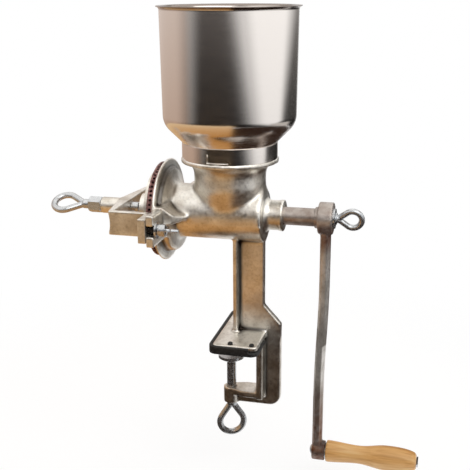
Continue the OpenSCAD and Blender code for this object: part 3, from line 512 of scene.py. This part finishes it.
def settle_crevice_shade(obj: bpy.types.Object, passes: int, from_to: tuple[float, float],
                 more: Optional[Callable[[np.ndarray], np.ndarray]] = None) -> None:
    """Mark how deep each point lies in a hollow, for painted shade that darkens hollows.

    Args:
        obj: The piece; its mesh gets the attribute.
        passes: How often the surface is evened out to find the level that a hollow lies under.
        from_to: Depth where the painted shade starts and where it is full, in millimetres.
        more: Painted shade that is there anyway, from the points' places in millimetres.
    """
    mesh = obj.data
    count = len(mesh.vertices)
    places = np.empty(count * 3)
    mesh.vertices.foreach_get("co", places)
    normals = np.empty(count * 3)
    mesh.vertices.foreach_get("normal", normals)
    ends = np.empty(len(mesh.edges) * 2, dtype=int)
    mesh.edges.foreach_get("vertices", ends)
    left, right = ends.reshape(-1, 2).T
    joined = np.maximum(np.bincount(left, minlength=count) + np.bincount(right, minlength=count), 1)
    level = places.reshape(-1, 3).T.copy()
    for _ in range(passes):
        for row in level:
            row[:] = (np.bincount(left, row[right], count) + np.bincount(right, row[left], count)) / joined
    depth = np.sum((level.T - places.reshape(-1, 3)) * normals.reshape(-1, 3), axis=1) / MM
    start, full = from_to
    amount = np.clip((depth - start) / (full - start), 0.0, 1.0)
    if more:
        amount = np.maximum(amount, more(places.reshape(-1, 3) / MM))
    # Stored as an amount that darkens the colour: painted shade in hollows.
    marks = mesh.attributes.new(CREVICE_SHADE, "FLOAT", "POINT")
    marks.data.foreach_set("value", amount)


def turned(name: str, profile: list[tuple[float, float]], axis: Axis, centre: tuple[float, float, float],
           steps: int = 160) -> bpy.types.Object:
    """Spin a profile into a round piece.

    Args:
        name: Name of the piece.
        profile: Points as radius and place along the axis, in millimetres; a closed outline.
        axis: What it is spun about.
        centre: A point on the axis, in millimetres.
        steps: Segments round the piece.

    Returns:
        The new object.
    """
    shape = bmesh.new()
    middle = Vector(centre) * MM
    along = Vector(axis.value)
    out = Vector((0.0, 0.0, 1.0)) if axis is Axis.SHAFT else Vector((1.0, 0.0, 0.0))
    ring = [shape.verts.new(middle + (out * r + along * z) * MM) for r, z in profile]
    edges = [shape.edges.new((a, b)) for a, b in zip(ring, ring[1:] + ring[:1])]
    bmesh.ops.spin(shape, geom=ring + edges, cent=middle, axis=along, angle=math.tau, steps=steps,
                   use_merge=True)
    bmesh.ops.remove_doubles(shape, verts=shape.verts, dist=0.0001 * MM)
    bmesh.ops.recalc_face_normals(shape, faces=shape.faces)
    return link_mesh(name, shape)


def arc(cx: float, cy: float, r: float, start: float, end: float, steps: int) -> list[tuple[float, float]]:
    """Points on an arc, with its angles in degrees."""
    angles = [math.radians(start + (end - start) * i / steps) for i in range(steps + 1)]
    return [(cx + r * math.cos(a), cy + r * math.sin(a)) for a in angles]


# Sub-assemblies


@dataclass
class Castings:
    """Cast body, bridge and crank arm, rounded as they come out of the sand."""

    body_cell: float = 1.18
    bridge_cell: float = 0.7
    crank_cell: float = 0.75
    body_passes: int = 5
    bridge_passes: int = 6
    crank_passes: int = 12
    fillet_passes: int = 60
    throat_reach: float = 50.0
    throat_top: float = 182.0
    throat_low: float = SHAFT_HEIGHT - 6.0
    throat_fade: float = 8.0
    barrel_clear: float = 24.0
    gusset_from: float = 34.0
    gusset_end: float = 30.0
    gusset_fade: float = 4.0
    # Painted shade in hollows: how often the surface is evened out, and the depths where the shade starts
    # and is full.
    shade_passes: int = 30
    shade_from_to: tuple[float, float] = (0.45, 1.7)
    # Painted shade as a dark line in the groove between the burr flange and the bell.
    groove_x: float = -62.0
    groove_r: float = 43.5
    groove_w: float = 2.6
    groove_full: float = 0.85

    def throat_weight(self, place: Vector) -> float:
        """1 where the throat grows out of the barrel, fading to 0 round it and at the gussets."""
        if place.z < self.throat_low or place.z > self.throat_top:
            return 0.0
        if math.hypot(place.y, place.z - SHAFT_HEIGHT) <= self.barrel_clear:
            return 0.0
        weight = min(1.0, max(0.0, (self.throat_reach - abs(place.x)) / self.throat_fade))
        weight *= min(1.0, max(0.0, (self.throat_top - place.z) / self.throat_fade))
        if place.x < -self.gusset_end:
            weight *= min(1.0, max(0.0, (self.gusset_from - abs(place.y)) / self.gusset_fade))
        return weight

    def groove_shade(self, places: np.ndarray) -> np.ndarray:
        """Painted shade: a dark line in the groove between the burr flange and the bell."""
        reach = np.hypot(places[:, 1], places[:, 2] - SHAFT_HEIGHT)
        away = np.hypot(places[:, 0] - self.groove_x, reach - self.groove_r) / self.groove_w
        return np.clip(1.5 - away, 0.0, self.groove_full)

    def build(self) -> None:
        """Make and dress the three castings, with painted shade in their hollows."""
        body = softened("body_casting", "cast_body", self.body_cell, self.body_passes,
                        (self.throat_weight, self.fillet_passes))
        # Painted shade goes into each casting's hollows, and into the burr groove on the body.
        settle_crevice_shade(body, self.shade_passes, self.shade_from_to, self.groove_shade)
        finish_piece(body, TIN, Body.FRAME, ["body_casting"])
        bridge = softened("bridge", "cast_bridge", self.bridge_cell, self.bridge_passes)
        settle_crevice_shade(bridge, self.shade_passes, self.shade_from_to)
        finish_piece(bridge, TIN, Body.FRAME, ["bridge"])
        crank = softened("crank_arm", "cast_crank", self.crank_cell, self.crank_passes)
        settle_crevice_shade(crank, self.shade_passes, self.shade_from_to)
        finish_piece(crank, WORN, Body.ROTOR, ["crank_arm"])


@dataclass
class Hopper:
    """Spun sheet bowl with a rolled rim."""

    neck_r: float = 46.65
    base_r: float = 65.8
    top_r: float = 67.0
    rim_r: float = 70.0
    neck_len: float = 4.0
    collar_top: float = 207.0
    shoulder_r: float = 20.0
    cone_angle: float = 45.0
    wall_h: float = 99.0
    lip_r: float = 3.0
    sheet: float = 1.0

    def shoulder_z(self) -> float:
        """Height where the straight wall starts."""
        tilt = math.radians(self.cone_angle)
        turn_r = self.base_r - self.shoulder_r + self.shoulder_r * math.sin(tilt)
        return self.collar_top + (turn_r - self.neck_r) * math.tan(tilt) + self.shoulder_r * math.cos(tilt)

    def build(self) -> None:
        """Spin the bowl and dress it like the collar."""
        z = self.shoulder_z()
        lip_z = z + self.wall_h
        lean = -(90 - self.cone_angle)
        outer = [(self.neck_r, self.collar_top - self.neck_len), (self.neck_r, self.collar_top)]
        outer += arc(self.base_r - self.shoulder_r, z, self.shoulder_r, lean, 0, 14)
        outer += arc(self.top_r + self.lip_r, lip_z, self.lip_r, 180, 90, 8)
        half = self.sheet / 2
        rim = arc(self.rim_r - half, lip_z + self.lip_r + half, half, -80, 80, 6)
        inner = arc(self.top_r + self.lip_r, lip_z, self.lip_r + self.sheet, 90, 180, 8)
        inner += arc(self.base_r - self.shoulder_r, z, self.shoulder_r - self.sheet, 0, lean, 14)
        inner += [(self.neck_r - self.sheet, self.collar_top + 0.4),
                  (self.neck_r - self.sheet, self.collar_top - self.neck_len)]
        bowl = turned("spun_bowl", outer[:-1] + rim + inner[1:], Axis.UPRIGHT, (0, 0, 0), 192)
        finish_piece(bowl, SHEET, Body.HOPPER, ["hopper_bowl"])


@dataclass
class EyeScrews:
    """Three screws whose heads are bent rod, and the wing nuts."""

    cell: float = 0.42
    passes: int = 6
    wing_cell: float = 0.4

    def build(self) -> None:
        """Make and dress the screws and the wing nuts."""
        for node, body in (("adjusting_screw", Body.ADJUSTER), ("crank_screw", Body.CRANK_EYE),
                           ("clamp_screw", Body.CLAMP_EYE)):
            screw = softened(node, f"forged_{node}", self.cell, self.passes)
            finish_piece(screw, ZINC, body, [node])
        for node, body in (("near_wing_nut", Body.NEAR_NUT), ("far_wing_nut", Body.FAR_NUT)):
            nut = softened(node, f"forged_{node}", self.wing_cell, self.passes)
            finish_piece(nut, ZINC, body, [node])


@dataclass
class Grip:
    """Turned grip: a swell that fits the palm, a waist and rounded ends."""

    length: float = 94.5
    axis_z: float = SHAFT_HEIGHT - 258.0
    bore_r: float = 3.55
    radii: tuple[tuple[float, float], ...] = ((0.0, 11.4), (0.36, 9.4), (0.68, 13.0), (1.0, 6.9))

    def radius(self, t: float) -> float:
        """Radius at a share of the grip's length."""
        (t0, r0), (t1, r1), (t2, r2), (_, r3) = self.radii
        if t < t1:
            return r0 + (r1 - r0) * (1 - math.cos(math.pi * t / t1)) / 2
        if t < t2:
            return r1 + (r2 - r1) * (1 - math.cos(math.pi * (t - t1) / (t2 - t1))) / 2
        return r2 + (r3 - r2) * (1 - math.sqrt(max(0.0, 1 - ((t - t2) / (1 - t2)) ** 2.4)))

    def build(self) -> None:
        """Spin the grip and dress it."""
        outline = [(self.bore_r, 0.0), (self.radius(0) - 1.2, 0.0), (self.radius(0) - 0.35, 0.35)]
        outline += [(self.radius(i / 60), self.length * i / 60) for i in range(1, 61)]
        outline += [(self.bore_r, self.length)]
        start_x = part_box("grip")[0][0] / MM
        grip = turned("turned_grip", outline, Axis.SHAFT, (start_x, 0, self.axis_z), 96)
        finish_piece(grip, WOOD, Body.HANDLE, ["grip"])


@dataclass
class JawPad:
    """Moulded pad with softened edges."""

    cell: float = 0.6
    passes: int = 4

    def build(self) -> None:
        """Make and dress the pad."""
        pad = softened("jaw_pad", "moulded_pad", self.cell, self.passes)
        finish_piece(pad, RUBBER, Body.FRAME, ["jaw_pad"])


@dataclass
class PlainPieces:
    """CAD nodes whose shape is right and that only need a finish."""

    finishes: dict[str, Finish] = field(default_factory=lambda: {
        "hopper_collar": SHEET,
        "fixed_burr": BURR, "turning_burr": BURR,
        "fixed_burr_screws": ZINC, "turning_burr_screws": ZINC, "drive_pin": ZINC, "thrust_ball": ZINC,
        "feed_screw": WORN, "rotor_plate": TIN,
        "lock_nut": ZINC, "near_washer": ZINC, "far_washer": ZINC,
        "near_bridge_bolt": BLACK, "far_bridge_bolt": BLACK,
        "crank_washer": ZINC, "grip_pin": ZINC, "grip_washer": ZINC, "swivel_pad": ZINC,
    })

    def dress(self) -> None:
        """Give each node its finish."""
        for node, finish in self.finishes.items():
            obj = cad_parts[node]
            obj.data.materials.clear()
            obj.data.materials.append(finish.material())
            LOG.info("%s: %s", node, finish.name)


@dataclass(frozen=True)
class Card:
    """A plain card outside the picture that the metal mirrors, as a photographer sets round shiny things.

    Its two edges are given as distance from the mill and height in millimetres, and as the angles of its
    left and right ends, in degrees to the right of the camera's side. Colours run from the first edge to the
    second, late where the curve is above 1, and the ends fade out over a share of the width, the feather,
    given for each edge. A card that shades also keeps light off the mill; one that doesn't only shows in the
    metal.
    """

    name: str
    first: tuple[float, float, float, float]
    second: tuple[float, float, float, float]
    first_colour: str
    second_colour: str
    feather: tuple[float, float] = (0.25, 0.25)
    curve: float = 1.0
    strength: float = 1.0
    shades: bool = True

    def build(self, facing: float) -> None:
        """Bend the card round the mill and paint it.

        Args:
            facing: Direction of the camera's side, in degrees from +X.
        """
        obj = link_mesh(self.name, self.sheet(facing))
        material = bpy.data.materials.new(self.name)
        material.use_nodes = True
        tree = material.node_tree
        coords = add_node(tree, "ShaderNodeTexCoord")
        across = add_node(tree, "ShaderNodeSeparateXYZ", links={0: coords.outputs["UV"]})
        along = add_node(tree, "ShaderNodeMath", props={"operation": "POWER"},
                         links={0: across.outputs["Y"]}, values={1: self.curve})
        colour = Finish.blend(tree, along.outputs[0], [(0.0, self.first_colour), (1.0, self.second_colour)])
        glow = add_node(tree, "ShaderNodeEmission", links={"Color": colour},
                        values={"Strength": self.strength})
        fade = add_node(tree, "ShaderNodeMapRange", links={"Value": across.outputs["Y"]},
                        values={"To Min": self.feather[0], "To Max": self.feather[1]}).outputs["Result"]
        from_right = add_node(tree, "ShaderNodeMath", props={"operation": "SUBTRACT"}, values={0: 1.0},
                              links={1: across.outputs["X"]})
        shown = add_node(tree, "ShaderNodeMath", props={"operation": "MULTIPLY"}, links={
            0: self.edge(tree, across.outputs["X"], fade), 1: self.edge(tree, from_right.outputs[0], fade)})
        clear = add_node(tree, "ShaderNodeBsdfTransparent")
        mix = add_node(tree, "ShaderNodeMixShader",
                       links={0: shown.outputs[0], 1: clear.outputs[0], 2: glow.outputs[0]})
        tree.links.new(mix.outputs[0], tree.nodes["Material Output"].inputs["Surface"])
        obj.data.materials.append(material)
        material.cycles.emission_sampling = "NONE"
        obj.visible_camera = False
        obj.visible_diffuse = obj.visible_shadow = self.shades

    def sheet(self, facing: float, steps: int = 48) -> bmesh.types.BMesh:
        """The card's mesh, with a UV layer across and along it."""
        shape = bmesh.new()
        layer = shape.loops.layers.uv.new("card")
        rows = []
        for reach, height, left, right in (self.first, self.second):
            angles = [math.radians(facing + left + (right - left) * i / steps) for i in range(steps + 1)]
            rows.append([shape.verts.new(Vector((reach * math.cos(a), reach * math.sin(a), height)) * MM)
                         for a in angles])
        for i in range(steps):
            face = shape.faces.new((rows[0][i], rows[0][i + 1], rows[1][i + 1], rows[1][i]))
            for loop, (u, v) in zip(face.loops, ((i, 0), (i + 1, 0), (i + 1, 1), (i, 1))):
                loop[layer].uv = (u / steps, v)
        return shape

    @staticmethod
    def edge(tree: bpy.types.NodeTree, value: bpy.types.NodeSocket,
             fade: bpy.types.NodeSocket) -> bpy.types.NodeSocket:
        """0 at the card's end, smoothly rising to 1 where the fade is over."""
        ranged = add_node(tree, "ShaderNodeMapRange", props={"interpolation_type": "SMOOTHSTEP"},
                          links={"Value": value, "From Max": fade}, values={"From Min": 0.0})
        return ranged.outputs["Result"]


@dataclass
class Studio:
    """Pale floor, soft lamps, a few cards that the metal mirrors, and the camera."""

    floor_z: float = -160.0
    floor_half: float = 6000.0
    floor_white: float = 0.8
    shadow_from_to: tuple[float, float] = (300.0, 700.0)
    air_light: float = 0.6
    target: tuple[float, float, float] = (4.56, 0.0, 110.31)
    camera_at: tuple[float, float, float] = (211.93, -807.08, 356.73)
    roll_deg: float = -0.328
    lens: float = 65.09
    sensor: float = 36.0
    facing: float = -75.6
    cards: tuple[Card, ...] = (
        Card("dark curtain", (760, -150, -110, 104), (760, 520, -87, 9),
             "050303", "FFF6F2", (0.16, 0.57), 4.4),
        Card("window card", (800, -20, 60, 79), (800, 520, -53, 185),
             "DBDBDB", "FFFFFF", (0.3, 0.3), 1.0, 1.35),
        Card("side wall", (840, -150, 70, 165), (840, 520, 110, 165),
             "0E0D0C", "E8E4E0", (0.2, 0.2), 3.0),
        Card("low wall", (780, -150, 66, 128), (780, 15, 66, 128),
             "C8C4C0", "C8C4C0", (0.2, 0.2)),
        Card("warm wall", (850, -150, -200, -60), (850, 520, -200, -50),
             "B29076", "F9F3F0", (0.15, 0.15), 1.3),
        Card("ceiling", (5, 1700, -180, 180), (2600, 1700, -180, 180),
             "DAD6D0", "DAD6D0", (0.001, 0.001)),
        Card("bench top", (70, -1, -170, 12), (720, -1, -170, 12),
             "C28A4A", "ECCFA6", (0.08, 0.08), shades=False),
        Card("bench shade", (70, -1, 4, 50), (480, -1, 4, 170),
             "33241C", "33241C", (0.1, 0.1), shades=False),
        Card("floor shade", (20, -159, -160, 60), (700, -159, -160, 60),
             "33261D", "33261D", (0.1, 0.1), shades=False),
    )

    def build(self) -> None:
        """Set the whole studio."""
        self.world()
        self.floor()
        for card in self.cards:
            card.build(self.facing)
        self.lamps()
        self.camera()
        bpy.context.scene.view_settings.view_transform = "Standard"

    @staticmethod
    def seen(tree: bpy.types.NodeTree) -> bpy.types.NodeSocket:
        """1 for what the camera, a reflection or a clear piece sees."""
        path = add_node(tree, "ShaderNodeLightPath")
        both = add_node(tree, "ShaderNodeMath", props={"operation": "MAXIMUM"},
                        links={0: path.outputs["Is Camera Ray"], 1: path.outputs["Is Glossy Ray"]})
        every = add_node(tree, "ShaderNodeMath", props={"operation": "MAXIMUM"},
                         links={0: both.outputs[0], 1: path.outputs["Is Transmission Ray"]})
        return every.outputs[0]

    def world(self) -> None:
        """White to the camera and in reflections, and a soft even light on everything."""
        world = bpy.data.worlds.new("studio air")
        bpy.context.scene.world = world
        world.use_nodes = True
        tree = world.node_tree
        strength = add_node(tree, "ShaderNodeMapRange", links={"Value": self.seen(tree)},
                            values={"To Min": self.air_light, "To Max": 1.0})
        background = tree.nodes["Background"]
        background.inputs["Color"].default_value = (1, 1, 1, 1)
        tree.links.new(strength.outputs["Result"], background.inputs["Strength"])

    def floor(self) -> None:
        """A white floor that keeps a soft shadow near the mill."""
        shape = bmesh.new()
        bmesh.ops.create_grid(shape, x_segments=1, y_segments=1, size=self.floor_half * MM,
                              matrix=Matrix.Translation((0, 0, self.floor_z * MM)))
        floor = link_mesh("floor", shape)
        material = bpy.data.materials.new("pale studio floor")
        material.use_nodes = True
        tree = material.node_tree
        shader = tree.nodes["Principled BSDF"]
        shader.inputs["Base Color"].default_value = linear("FFFFFF")
        shader.inputs["Roughness"].default_value = 0.9
        shader.inputs["Specular IOR Level"].default_value = 0.0
        glow = add_node(tree, "ShaderNodeEmission", values={"Color": (1, 1, 1, 1), "Strength": 1.0})
        reach = add_node(tree, "ShaderNodeVectorMath", props={"operation": "LENGTH"},
                         links={0: add_node(tree, "ShaderNodeTexCoord").outputs["Object"]})
        start, end = self.shadow_from_to
        near = add_node(tree, "ShaderNodeMapRange", props={"interpolation_type": "SMOOTHSTEP"},
                        links={"Value": reach.outputs["Value"]},
                        values={"From Min": start * MM, "From Max": end * MM,
                                "To Min": self.floor_white, "To Max": 1.0})
        share = add_node(tree, "ShaderNodeMath", props={"operation": "MULTIPLY"},
                         links={0: self.seen(tree), 1: near.outputs["Result"]})
        mix = add_node(tree, "ShaderNodeMixShader",
                       links={0: share.outputs[0], 1: shader.outputs[0], 2: glow.outputs[0]})
        tree.links.new(mix.outputs[0], tree.nodes["Material Output"].inputs["Surface"])
        floor.data.materials.append(material)

    def lamps(self) -> None:
        """Soft key from the upper right, fill from the left and a top light."""
        for name, place, size, power in (
            ("key", (900, -900, 1300), 2.0, 26.0),
            ("fill", (-1200, -700, 1100), 2.0, 9.0),
            ("top", (0, 300, 1500), 2.0, 9.0),
        ):
            lamp = bpy.data.lights.new(name, "AREA")
            lamp.size = size
            lamp.energy = power
            obj = bpy.data.objects.new(name, lamp)
            bpy.context.scene.collection.objects.link(obj)
            obj.location = Vector(place) * MM
            aim = Vector(self.target) * MM - obj.location
            obj.rotation_euler = aim.to_track_quat("-Z", "Y").to_euler()

    def camera(self) -> None:
        """Look from the photograph's angle."""
        camera = bpy.data.cameras.new("camera")
        camera.lens = self.lens
        camera.sensor_width = self.sensor
        camera.clip_end = 50
        obj = bpy.data.objects.new("camera", camera)
        bpy.context.scene.collection.objects.link(obj)
        here = Vector(self.camera_at) * MM
        aim = Vector(self.target) * MM - here
        turn = aim.to_track_quat("-Z", "Y").to_matrix().to_4x4()
        roll = Matrix.Rotation(math.radians(self.roll_deg), 4, "Z")
        obj.matrix_world = Matrix.Translation(here) @ turn @ roll
        bpy.context.scene.camera = obj


def main() -> None:
    """Build every sub-assembly in order and set the studio."""
    logging.basicConfig(level=logging.INFO, format="%(name)s: %(message)s")
    steps: list[tuple[str, Callable[[], None]]] = [
        ("castings", Castings().build),
        ("hopper", Hopper().build),
        ("eye screws", EyeScrews().build),
        ("grip", Grip().build),
        ("jaw pad", JawPad().build),
        ("plain pieces", PlainPieces().dress),
        ("studio", Studio().build),
    ]
    for name, step in steps:
        LOG.info("building %s", name)
        step()


if __name__ == "__main__":
    main()
